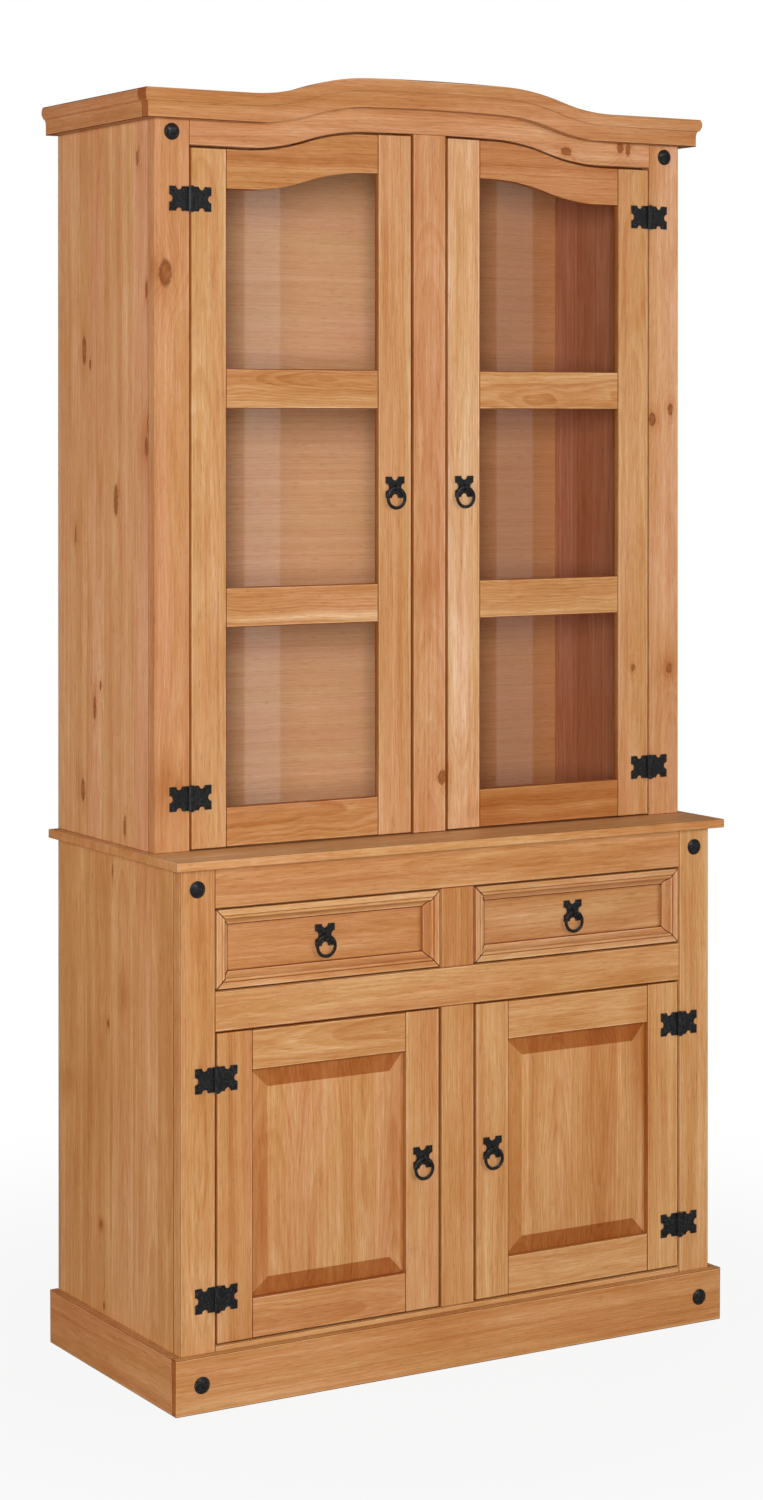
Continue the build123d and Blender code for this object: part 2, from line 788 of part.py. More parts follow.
# ---------------------------------------------------------------- export
def pieces():
    """Node name to its solid or solids."""
    nodes = {
        "plinth_front": plinth_front(),
        "plinth_returns": [plinth_return(left), plinth_return(right)],
        "base_side_left": base_side(left),
        "base_side_right": base_side(right),
        "base_stile_left": base_stile(left),
        "base_stile_right": base_stile(right),
        "base_bottom_rail": base_bottom_rail(),
        "base_mid_rail": base_mid_rail(),
        "base_top_rail": base_top_rail(),
        "base_centre_stile": post(base_y, (floor_top, door_top)),
        "drawer_divider": post(base_y, (drawer_low, drawer_high)),
        "base_floor": spanning_board(base_y + board, *floor_z),
        "base_shelf": base_shelf(),
        "base_back": carcass_back(floor_z[0], base_top),
        "drawer_runners": [side_runner(left), centre_runner(), side_runner(right)],
        "buffet_top": buffet_top(),
        "hutch_side_left": hutch_side(left),
        "hutch_side_right": hutch_side(right),
        "hutch_stiles": [hutch_stile(left), hutch_stile(right)],
        "hutch_centre_stile": hutch_centre_stile(),
        "hutch_header": hutch_header(),
        "hutch_roof": spanning_board(hutch_y + board, *roof_z),
        "hutch_shelves": [hutch_shelf(low) for low in hutch_shelves],
        "hutch_back": carcass_back(buffet, side_top),
        "cornice_front": cornice_front(),
        "cornice_returns": [cornice_return(left), cornice_return(right)],
        "clavos": clavos(),
        "frame_hinges": frame_hinges(),
    }
    for side, name in ((left, "left"), (right, "right")):
        nodes[f"hutch_door_{name}_stiles"] = hutch_door_stiles(side)
        nodes[f"hutch_door_{name}_arch_rail"] = hutch_door_arch_rail(side)
        nodes[f"hutch_door_{name}_cross_rails"] = hutch_door_cross_rails(side)
        nodes[f"hutch_door_{name}_panes"] = hutch_door_panes(side)
        nodes[f"hutch_door_{name}_ironwork"] = door_ironwork(side, True)
        nodes[f"base_door_{name}_stiles"] = base_door_stiles(side)
        nodes[f"base_door_{name}_rails"] = base_door_cross(side)
        nodes[f"base_door_{name}_panel"] = base_door_panel(side)
        nodes[f"base_door_{name}_ironwork"] = door_ironwork(side, False)
        nodes[f"drawer_{name}_moulding"] = drawer_moulding(side)
        nodes[f"drawer_{name}_front"] = drawer_front(side)
        nodes[f"drawer_{name}_box"] = drawer_box(side)
        nodes[f"drawer_{name}_pull_plate"] = Pos(*pull_place(side, "drawer")) * pull_plate()
        nodes[f"hutch_ring_{name}"] = ring(side, "hutch")
        nodes[f"base_ring_{name}"] = ring(side, "base")
        nodes[f"drawer_ring_{name}"] = ring(side, "drawer")
    return nodes


def main():
    os.makedirs("parts", exist_ok=True)
    for name, solid in pieces().items():
        solids = solid if isinstance(solid, list) else [solid]
        shape = solids[0] if len(solids) == 1 else Compound(children=solids)
        export_step(shape, f"parts/{name}.step")


if __name__ == "__main__":
    main()
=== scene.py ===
"""Trastero cabinet in waxed pine with black ironwork: eased boards, finishes, nails and studio.

Metres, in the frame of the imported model: +X is the cabinet's right, -Y its front, +Z up.
"""
import json
import math
import random

import bmesh
import bpy
from mathutils import Euler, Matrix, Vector


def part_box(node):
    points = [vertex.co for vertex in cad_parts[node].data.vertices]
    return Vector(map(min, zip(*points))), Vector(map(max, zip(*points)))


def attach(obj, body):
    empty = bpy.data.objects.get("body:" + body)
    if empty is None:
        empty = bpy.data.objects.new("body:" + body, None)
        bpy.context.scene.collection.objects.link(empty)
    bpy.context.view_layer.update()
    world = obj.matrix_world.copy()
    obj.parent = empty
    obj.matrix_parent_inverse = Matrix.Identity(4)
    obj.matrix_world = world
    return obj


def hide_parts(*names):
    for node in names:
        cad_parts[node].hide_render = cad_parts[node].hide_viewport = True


bl_info = {
    "name": "Trastero cabinet",
    "version": (1, 0, 0),
    "blender": (4, 5, 0),
    "location": "3D View > Sidebar > Cabinet",
    "description": "Dresses a pine cupboard's boards, glass and ironwork, and sets up its studio",
    "category": "Object",
}

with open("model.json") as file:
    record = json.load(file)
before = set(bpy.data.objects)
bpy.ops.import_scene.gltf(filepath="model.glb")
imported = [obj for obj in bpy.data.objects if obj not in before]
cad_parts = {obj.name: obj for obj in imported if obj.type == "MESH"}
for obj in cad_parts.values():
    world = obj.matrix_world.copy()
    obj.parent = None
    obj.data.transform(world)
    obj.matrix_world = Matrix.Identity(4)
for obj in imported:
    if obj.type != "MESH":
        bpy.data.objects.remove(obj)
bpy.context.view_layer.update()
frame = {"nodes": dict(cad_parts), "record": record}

MM = 0.001
X, Y, Z = 0, 1, 2
WELD = 0.002 * MM   # corners of the loose triangles that lie closer are one corner
ALONG_AXIS = 0.7    # share of a normal on an axis from which its face counts as facing along it
TILTED = 0.05       # share from which a panel's face counts as its bevel
FAR = 1.0           # distance to an edge that gets no joint line


# ---------------------------------------------------------------- settings
class BoardSettings(bpy.types.PropertyGroup):
    """Sizes and colours of the waxed pine."""

    ease: bpy.props.FloatProperty(
        name="Eased edge", description="Rounding of the boards' edges",
        default=1.2 * MM, min=0, unit="LENGTH")
    ring_spacing: bpy.props.FloatProperty(
        name="Ring spacing", description="Usual distance between growth rings",
        default=4.2 * MM, min=0.5 * MM, unit="LENGTH")
    joint_line: bpy.props.FloatProperty(
        name="Joint line", description="Width of the stain that gathers at a board's ends and edges",
        default=1.7 * MM, min=0, unit="LENGTH")
    pale: bpy.props.FloatVectorProperty(
        name="Pale wood", description="Lightest spring wood",
        default=(0.600, 0.338, 0.182), size=3, min=0, max=1, subtype="COLOR")
    honey: bpy.props.FloatVectorProperty(
        name="Honey wood", description="The same wood after one measure of stain",
        default=(0.470, 0.208, 0.082), size=3, min=0, max=1, subtype="COLOR")
    knot: bpy.props.FloatVectorProperty(
        name="Knot", description="Wood inside a knot",
        default=(0.240, 0.068, 0.014), size=3, min=0, max=1, subtype="COLOR")
    stain: bpy.props.FloatVectorProperty(
        name="Joint stain", description="Share of each colour left in joint lines and round knots",
        default=(0.25, 0.082, 0.028), size=3, min=0, max=1, subtype="COLOR")


class IronSettings(bpy.types.PropertyGroup):
    """Finish of the hinges, pulls and studs."""

    black: bpy.props.FloatVectorProperty(
        name="Black", description="Lacquered iron",
        default=(0.0095, 0.0098, 0.0102), size=3, min=0, max=1, subtype="COLOR")
    worn: bpy.props.FloatVectorProperty(
        name="Worn", description="Iron where the lacquer is thin",
        default=(0.13, 0.13, 0.135), size=3, min=0, max=1, subtype="COLOR")
    hammer_mark: bpy.props.FloatProperty(
        name="Hammer mark", description="Distance between hammer marks",
        default=2.2 * MM, min=0.5 * MM, unit="LENGTH")
    nail_radius: bpy.props.FloatProperty(
        name="Nail head radius", description="Nails that hold the hinges and plates",
        default=1.7 * MM, min=0.2 * MM, unit="LENGTH")
    nail_height: bpy.props.FloatProperty(
        name="Nail head height", description="How far a nail head stands proud",
        default=0.8 * MM, min=0.1 * MM, unit="LENGTH")


class GlassSettings(bpy.types.PropertyGroup):
    """Window glass of the hutch doors."""

    tint: bpy.props.FloatVectorProperty(
        name="Tint", description="Colour that the glass lets through",
        default=(0.97, 0.985, 0.975), size=3, min=0, max=1, subtype="COLOR")
    index: bpy.props.FloatProperty(
        name="Refractive index", description="Sets how strongly the glass mirrors",
        default=1.52, min=1, max=2.5)


class StudioSettings(bpy.types.PropertyGroup):
    """Camera, lamps and floor."""

    camera_place: bpy.props.FloatVectorProperty(
        name="Camera place", description="Where the lens is",
        default=(-2.4103, -4.0299, 1.3759), size=3, unit="LENGTH", subtype="TRANSLATION")
    camera_yaw: bpy.props.FloatProperty(
        name="Camera yaw", description="Turn of the view to the cabinet's right, from straight ahead",
        default=math.radians(30.716), unit="ROTATION", subtype="ANGLE")
    camera_pitch: bpy.props.FloatProperty(
        name="Camera pitch", description="Tilt of the view downwards",
        default=math.radians(0.271), unit="ROTATION", subtype="ANGLE")
    lens: bpy.props.FloatProperty(
        name="Lens", description="Focal length, in millimetres, for a film 36 mm high",
        default=74.69, min=10)
    lens_shift: bpy.props.FloatProperty(
        name="Lens shift", description="Rise of the lens as a share of the film's height",
        default=-0.21003)
    key_strength: bpy.props.FloatProperty(
        name="Key power", description="Large soft lamp in front, to the right, in watts",
        default=105.0, min=0)
    front_strength: bpy.props.FloatProperty(
        name="Front power", description="Soft lamp beside the camera, in watts",
        default=245.0, min=0)
    sky_strength: bpy.props.FloatProperty(
        name="Room light", description="Even light from all round",
        default=0.05, min=0)
    side_strength: bpy.props.FloatProperty(
        name="Side power", description="Soft lamp on the cabinet's left, in watts",
        default=90.0, min=0)
    rear_strength: bpy.props.FloatProperty(
        name="Rear power", description="Soft lamp behind the cabinet, to the right, in watts",
        default=90.0, min=0)
    top_strength: bpy.props.FloatProperty(
        name="Top power", description="Soft lamp overhead, in watts",
        default=25.0, min=0)
    glint_strength: bpy.props.FloatProperty(
        name="Glint power", description="High lamp that only shows as gloss, in watts",
        default=30.0, min=0)
    strip_radiance: bpy.props.FloatProperty(
        name="Strip brightness", description="Narrow lamps that the glass mirrors",
        default=0.65, min=0)
    floor_colour: bpy.props.FloatVectorProperty(
        name="Floor", description="Plain pale floor",
        default=(0.40, 0.40, 0.40), size=3, min=0, max=1, subtype="COLOR")


# ---------------------------------------------------------------- shader expressions
class Value:
    """A number that varies over a surface. Arithmetic on it adds Math nodes."""

    def __init__(self, finish, socket):
        self.finish = finish
        self.socket = socket

    def calc(self, operation, *numbers):
        return self.finish.node("ShaderNodeMath", {"operation": operation}, dict(enumerate(numbers)))

    def __add__(self, other):
        return self.calc("ADD", self, other)

    def __sub__(self, other):
        return self.calc("SUBTRACT", self, other)

    def __rsub__(self, other):
        return self.calc("SUBTRACT", other, self)

    def __mul__(self, other):
        return self.calc("MULTIPLY", self, other)

    def __truediv__(self, other):
        return self.calc("DIVIDE", self, other)

    def __pow__(self, other):
        return self.calc("POWER", self, other)

    def __abs__(self):
        return self.calc("ABSOLUTE", self)

    __radd__ = __add__
    __rmul__ = __mul__

    def fraction(self):
        return self.calc("FRACT", self)

    def floor(self):
        return self.calc("FLOOR", self)

    def root(self):
        return self.calc("SQRT", self)

    def exponential(self):
        return self.calc("EXPONENT", self)

    def least(self, other):
        return self.calc("MINIMUM", self, other)

    def most(self, other):
        return self.calc("MAXIMUM", self, other)

    def step(self, low, high):
        """0 below low, 1 above high and smooth between; low may be the larger."""
        rising = low < high
        ends = {"From Min": min(low, high), "From Max": max(low, high),
                "To Min": 0.0 if rising else 1.0, "To Max": 1.0 if rising else 0.0}
        return self.finish.node(
            "ShaderNodeMapRange", {"interpolation_type": "SMOOTHSTEP"}, {"Value": self, **ends})


class Finish:
    """A material, or a world, whose nodes are written as expressions."""

    def __init__(self, name, kind="materials"):
        self.made = getattr(bpy.data, kind).new(name)
        self.made.use_nodes = True
        self.tree = self.made.node_tree
        self.tree.nodes.clear()

    def node(self, kind, settings=None, inputs=None, output=0):
        """Adds a node: its settings first, then a value or a link for each named input."""
        made = self.tree.nodes.new(kind)
        for name, value in (settings or {}).items():
            setattr(made, name, value)
        for name, value in (inputs or {}).items():
            if isinstance(value, Value):
                self.tree.links.new(value.socket, made.inputs[name])
            else:
                made.inputs[name].default_value = value
        return None if output is None else Value(self, made.outputs[output])

    def attribute(self, name, output="Vector"):
        return self.node("ShaderNodeAttribute", {"attribute_name": name}, output=output)

    def place(self):
        return self.node("ShaderNodeTexCoord", output="Object")

    def ray(self, kind):
        return self.node("ShaderNodeLightPath", output=f"Is {kind} Ray")

    def split(self, vector):
        return [self.node("ShaderNodeSeparateXYZ", None, {0: vector}, axis) for axis in (X, Y, Z)]

    def join(self, x, y, z):
        return self.node("ShaderNodeCombineXYZ", None, {X: x, Y: y, Z: z})

    def scaled(self, vector, factor):
        """A vector or colour times a number."""
        return self.node("ShaderNodeVectorMath", {"operation": "SCALE"}, {0: vector, "Scale": factor})

    def noise(self, vector, detail=1.0, roughness=0.5):
        """Smooth noise with features about one unit across, mostly between -0.5 and 0.5."""
        inputs = {"Vector": vector, "Scale": 1.0, "Detail": detail, "Roughness": roughness}
        return (self.node("ShaderNodeTexNoise", None, inputs) - 0.5) * 1.6

    def mix(self, start, end, factor, blend="MIX"):
        """Colour between two colours."""
        settings = {"data_type": "RGBA", "blend_type": blend}
        inputs = {"Factor": factor, 6: rgba(start), 7: rgba(end)}
        return self.node("ShaderNodeMix", settings, inputs, 2)

    def stained(self, colour, stain, factor):
        """Colour multiplied by a stain, by the factor's share."""
        return self.mix(colour, stain, factor, "MULTIPLY")

    def bump(self, height, distance, strength=1.0):
        inputs = {"Strength": strength, "Distance": distance, "Height": height}
        return self.node("ShaderNodeBump", None, inputs)

    def finish(self, shader, output="ShaderNodeOutputMaterial"):
        """Links the shader to the output, and returns the material or world."""
        self.node(output, None, {"Surface": shader}, None)
        return self.made


def rgba(colour):
    """A colour socket's value; a link stays a link."""
    return colour if isinstance(colour, Value) else (*colour, 1.0)


# ---------------------------------------------------------------- pine
def nearest_knot(wood, knots, axes):
    """Squared distance to the nearest knot, where 1 is its rim. A knot is (place, place, size, size)."""
    place = wood.place()
    ragged = wood.noise(wood.scaled(place, 170.0), 4.0) * (4.5 * MM)
    coordinates = wood.split(place)
    first = coordinates[axes[0]] + ragged
    second = coordinates[axes[1]] - ragged
    nearest = None
    for place_1, place_2, size_1, size_2 in knots:
        away = ((first - place_1) / size_1) ** 2 + ((second - place_2) / size_2) ** 2
        nearest = away if nearest is None else nearest.least(away)
    return nearest


def pine(name, look, knots=(), smudges_and_shadow=(), axes=(X, Z), painted_light_tint=(1.0, 1.0, 1.0), contrast=1.0, calm=1.0):
    """Waxed pine. Reads what mark_grain writes: grain, board, lean, stain, half_width and ends.

    The tint argument multiplies the finished colour, as painted light that brightens the back panels and
    painted shade on the hutch's inner side; contrast weakens its broad figure and calm its fine lines.
    """
    wood = Finish(name)
    along, across, depth = wood.split(wood.attribute("grain"))
    seed, pith_across, pith_depth = wood.split(wood.attribute("board"))
    lean_across, lean_depth, figure = wood.split(wood.attribute("lean"))
    tone, uptake, yellow = wood.split(wood.attribute("stain"))
    half_width = wood.attribute("half_width", "Fac")
    start, end, outer_edge = wood.split(wood.attribute("ends"))

    # growth rings around a pith that wanders along the board; every noise here is given its features per
    # metre along and across the grain, and the board's seed
    drift = wood.noise(wood.join(along * 1.6, seed, 0.0), 2.0)
    sway = wood.noise(wood.join(along * 2.1, seed, 7.0), 2.0)
    wave = wood.noise(wood.join(along * 8.0, across * 14.0, seed + 4.0), 2.0)
    side = across - pith_across + lean_across * along + drift * 0.022
    behind = depth - pith_depth + lean_depth * along + sway * 0.028
    radius = (side * side + behind * behind).root() + wave * figure * 0.012
    uneven = wood.noise(wood.join(radius * 45.0, seed, 3.0)) * 1.6
    rings = radius / look.ring_spacing + uneven
    if knots:
        away = nearest_knot(wood, knots, axes)
        rings = rings + (away * -0.16).exponential() * 4.0
    year = wood.node("ShaderNodeTexWhiteNoise", {"noise_dimensions": "1D"}, {"W": rings.floor()}, "Value")
    phase = rings.fraction()
    line = phase.step(0.1, 0.85) * phase.step(1.0, 0.85) * (year * 0.8 + 0.2)
    band = wood.noise(wood.join(radius * 65.0, seed + 1.0, along * 0.7), 1.0)

    # how much stain the wood took up: 0 is pale, 1 honey and 2 amber
    broad = wood.noise(wood.join(along * 3.0, across * 13.0, seed + 5.0), 2.0, 0.55)
    flame = wood.noise(wood.join(along * 8.0, across * 55.0, seed + 2.0), 3.0, 0.6)
    streak = wood.noise(wood.join(along * 1.5, across * 150.0, seed + depth * 40.0), 2.0, 0.6)
    fibre = wood.noise(wood.join(along * 30.0, across * 540.0, seed + depth * 300.0), 2.0, 0.65)
    pore = wood.noise(wood.join(along * 60.0, across * 560.0, seed + 11.0 + depth * 300.0), 1.0)
    dash = pore.step(0.16, 0.36)
    clouds = band * (0.7 + figure * 0.8) + broad * 0.9 + flame * 0.6
    hairs = streak * 0.85 + fibre * 1.3 + line * (0.35 + figure * 0.4)
    density = uptake + clouds * contrast + hairs * calm
    # darker smudges in the wood, and on the back panels a painted shadow
    if smudges_and_shadow:
        density = density + (nearest_knot(wood, smudges_and_shadow, axes) * -0.7).exponential() * 0.7
    if knots:
        core = away.root()
        density = density + (away * -0.28).exponential() * (0.8 + flame * 2.5)

    # stain gathers at a board's margin, and just inside it a pale band is painted as a highlight
    margin = (half_width - abs(across)).least(start).least(end).least(outer_edge)
    painted_edge_highlight = margin.step(3.0 * MM, 2.0 * MM) * margin.step(0.7 * MM, 1.2 * MM)
    density = density - painted_edge_highlight * 0.5
    colour = wood.join(*((density * math.log(honey / pale)).exponential() * pale
                         for pale, honey in zip(look.pale, look.honey)))
    hue = wood.noise(wood.join(along * 2.5, across * 30.0, seed + 9.0), 2.0) + yellow + 0.5
    colour = wood.stained(colour, wood.mix((1.02, 0.97, 1.05), (0.98, 1.03, 0.90), hue), 1.0)
    shade = 1.0 + tone + fibre * 0.12 - dash * 0.17 + painted_edge_highlight * 0.07
    colour = wood.stained(wood.scaled(colour, shade), painted_light_tint, 1.0)
    colour = wood.stained(colour, look.stain, margin.step(look.joint_line, look.joint_line * 0.6) * 0.95)

    roughness = 0.46 + fibre * 0.10 + dash * 0.08
    height = fibre * 0.4 - dash * 0.7 - line * 0.25 + streak * 0.2
    if knots:
        grainy = wood.noise(wood.join(along * 110.0, across * 380.0, seed + 13.0), 3.0, 0.6)
        heart = wood.mix(look.knot, look.honey, grainy + 0.10)
        colour = wood.mix(colour, heart, core.step(1.15, 0.85) * 0.95)
        rim = core.step(0.55, 0.95) * core.step(1.3, 1.0)
        colour = wood.stained(colour, look.stain, rim * (0.20 + broad * 0.8))
        height = height - rim * 0.8
    normal = wood.bump(height, 0.25 * MM, 0.5)
    inputs = {"Base Color": colour, "Roughness": roughness, "Normal": normal,
              "Specular IOR Level": 0.42, "Coat Weight": 0.12, "Coat Roughness": 0.28}
    return wood.finish(wood.node("ShaderNodeBsdfPrincipled", None, inputs))


def placed(name, data):
    """A new object in the scene."""
    made = bpy.data.objects.new(name, data)
    bpy.context.scene.collection.objects.link(made)
    return made


# ---------------------------------------------------------------- boards
# Glue lines of the wide panels, by the coordinate that runs across the grain.
glue_lines = {
    "hutch_side_left": (-0.046, 0.052, 0.106),
    "base_side_left": (-0.122, -0.043, 0.028, 0.108),
    "hutch_side_right": (-0.028, 0.061, 0.139),
    "base_side_right": (-0.095, 0.012, 0.098),
    "buffet_top": (-0.118, -0.012, 0.101),
    "base_floor": (-0.05, 0.06, 0.15),
    "base_shelf": (-0.07, 0.04, 0.13),
    "hutch_roof": (0.0, 0.1),
    "hutch_shelves": (0.01, 0.11),
    "base_door_left_panel": (-0.268, -0.190, -0.140),
    "base_door_right_panel": (0.132, 0.201, 0.287),
}
# Grain axis where it isn't the longest side.
grain_axis = {"hutch_back": X, "base_back": X}
# Lightness, stain uptake and yellowness added to every board of a node.
tones = {
    "arch_rail": (0.0, 0.50, 0.2), "header": (0.0, -0.20, 0.0), "cornice": (0.0, 0.45, 0.1),
    "hutch_door_right_stiles": (0.0, -0.40, 0.1), "hutch_door_left_stiles": (0.0, -0.30, 0.1),
    "cross_rails": (0.0, 0.15, 0.3), "buffet_top": (0.10, 0.50, 0.2), "base_side": (0.04, 0.40, -0.1),
    "base": (0.06, 0.05, 0.5), "plinth": (0.08, 0.30, 0.3), "plinth_returns": (0.04, 0.5, 0.0),
    "drawer": (0.04, 0.30, 0.2), "moulding": (0.05, -0.45, 0.0), "drawer_right": (-0.08, 0.10, 0.0),
    "_panel": (0.0, 0.15, 0.0), "base_door_left_rails": (0.0, 0.25, 0.0), "hutch_side": (0.05, -0.05, -0.2),
}
# Extra width of the joint line at the outer edges of wide panels.
extra_joint = {"hutch_side_left": 1.0 * MM, "base_side_left": 1.0 * MM}
# Boards that end against others, with a dark line at each end.
shouldered_parts = ("rail", "header", "centre_stile", "drawer_divider", "moulding")
# Stain uptake added to single boards, by their place in the node.
single_uptake = {
    ("hutch_door_left_cross_rails", 0): -0.3, ("hutch_door_right_cross_rails", 0): 1.0,
    ("hutch_door_left_stiles", 1): 0.2, ("hutch_door_right_stiles", 1): 0.4,
    ("hutch_stiles", 0): 0.1, ("hutch_stiles", 1): -0.25, ("base_door_left_stiles", 0): 0.3,
}
# Boards whose grain wanders most.
figured = {"cross_rails": 0.9, "arch_rail": 0.6, "header": 0.4, "base_door_left_rails": 0.4, "_panel": 0.25}


# Nodes of boards that lie flat, with their grain from side to side.
flat_boards = ("buffet_top", "base_floor", "base_shelf", "hutch_roof", "hutch_shelves")


def grain_direction(node, size):
    """Axis that a board's grain follows."""
    return grain_axis.get(node, max((X, Y, Z), key=lambda axis: size[axis]))


def solids(mesh):
    """Faces of each separate solid of a bmesh, from the lowest up."""
    waiting = set(mesh.faces)
    found = []
    for seed_face in mesh.faces:
        if seed_face not in waiting:
            continue
        waiting.discard(seed_face)
        group, edge = [seed_face], [seed_face]
        while edge:
            face = edge.pop()
            for neighbour in {f for v in face.verts for f in v.link_faces} & waiting:
                waiting.discard(neighbour)
                group.append(neighbour)
                edge.append(neighbour)
        found.append(group)
    return sorted(found, key=lambda group: [round(place, 4) for place in reversed(span(group)[0])])


def strips(mesh):
    """Faces of the four mitred strips of a frame, which share their corners, by the nearest side."""
    low, high = span(mesh.faces)
    found = [[], [], [], []]
    for face in mesh.faces:
        centre = face.calc_center_median()
        away = (centre.x - low.x, high.x - centre.x, centre.z - low.z, high.z - centre.z)
        found[away.index(min(away))].append(face)
    return found


def span(faces):
    """Lowest and highest corner of a group of faces."""
    corners = [v.co for f in faces for v in f.verts]
    low = Vector([min(c[axis] for c in corners) for axis in (X, Y, Z)])
    high = Vector([max(c[axis] for c in corners) for axis in (X, Y, Z)])
    return low, high


def merged(node):
    """A bmesh of a CAD node, with its loose triangles joined into flat faces."""
    mesh = bmesh.new()
    mesh.from_mesh(frame["nodes"][node].data)
    bmesh.ops.remove_doubles(mesh, verts=mesh.verts, dist=WELD)
    bmesh.ops.dissolve_limit(
        mesh, angle_limit=math.radians(0.4), use_dissolve_boundaries=False,
        verts=mesh.verts, edges=mesh.edges)
    return mesh


def ease_edges(mesh, width):
    """Rounds the long sharp edges of the boards' faces, and marks where shading breaks."""
    at_face = set()
    for faces in solids(mesh):
        low, high = span(faces)
        depth = min((X, Y, Z), key=lambda axis: high[axis] - low[axis])
        for vertex in {v for f in faces for v in f.verts}:
            place = vertex.co[depth]
            if min(place - low[depth], high[depth] - place) < 0.01 * MM:
                at_face.add(vertex)
    sharp = [e for e in mesh.edges
             if e.is_manifold and e.is_convex and at_face.issuperset(e.verts)
             and e.calc_length() > 3 * width
             and math.radians(50) < e.calc_face_angle() < math.radians(130)]
    made = bmesh.ops.bevel(
        mesh, geom=sharp, offset=width, offset_type="OFFSET", segments=3, profile=0.5,
        affect="EDGES", clamp_overlap=False)
    rounded = set(made["faces"])
    mesh.normal_update()
    for face in mesh.faces:
        face.smooth = True
    for e in mesh.edges:
        at_flat = len({f in rounded for f in e.link_faces}) == 2
        e.smooth = e.is_manifold and not at_flat and e.calc_face_angle() < math.radians(32)
    # the rounded faces are marked, and the pine paints them paler as a highlight
    worn = mesh.faces.layers.int.new("worn")
    for face in mesh.faces:
        face[worn] = face in rounded


def board_values(name, width):
    """How one board was cut from its log, at random but the same on every run."""
    pick = random.Random(name)
    flat_sawn = pick.random() < 0.45
    if flat_sawn:
        pith_across = pick.uniform(-0.3, 0.3) * width
        pith_depth = pick.choice((-1, 1)) * pick.uniform(0.018, 0.05)
    else:
        pith_across = pick.choice((-1, 1)) * (width / 2 + pick.uniform(0.03, 0.10))
        pith_depth = pick.uniform(-0.05, 0.05)
    lean = (pick.uniform(-0.02, 0.02), pick.uniform(-0.05, 0.05))
    log = (pick.uniform(0, 90), pith_across, pith_depth)
    return log, lean, pick.uniform(0.45, 0.85), pick.uniform(-0.3, 0.3)


def sloped_uptake(node, along, across):
    """Extra stain where the surface cuts through the grain, a little on the sloping faces of mouldings, and
    painted shade on the side bevels of panels and the edge faces of stiles and rails, by the normal's share
    on two axes.
    """
    if abs(along) > ALONG_AXIS:
        return 0.3 if node == "buffet_top" else 1.8
    if "_panel" in node and abs(along) > TILTED:
        return 1.9
    # painted shade: the left bevel, which the lamps light more, is stained darker than the right one
    if "_panel" in node and ALONG_AXIS > abs(across) > TILTED:
        return 0.8 if across < 0 else 0.15
    if "moulding" in node and abs(across) > 0.3:
        return 0.3
    # painted shade: the edge faces of stiles and rails are stained darker, most on doors and centre stiles,
    # whose edges face into the gaps between parts
    if ("stile" in node or "rail" in node) and abs(across) > ALONG_AXIS:
        return 1.5 if "door" in node or "centre" in node else 0.3
    return 0.0


def faces_inside(normal):
    """Whether a face of the hutch's right side looks into the hutch."""
    return normal.x < -0.5


def face_tones(node, normal):
    """How one face of a board differs in lightness, stain uptake and yellowness: paler on the buffet top's
    upper face, and painted darker and redder as shade on the hutch side's inner face.
    """
    if node == "buffet_top" and normal.z > ALONG_AXIS:
        return 0.08, -0.40, 0.0
    # painted shade: the inner face of the hutch's right side is darker and redder
    if node == "hutch_side_right" and faces_inside(normal):
        return 0.15, 0.55, -0.7
    return 0.0, 0.0, 0.0


def in_quirk(face):
    """Whether a face is one side of a narrow groove in a moulding."""
    longest = max(e.calc_length() for e in face.edges)
    hollow = any(e.is_manifold and not e.is_convex and e.calc_face_angle() > math.radians(35)
                 for e in face.edges)
    return hollow and face.calc_area() / longest < 1.9 * MM


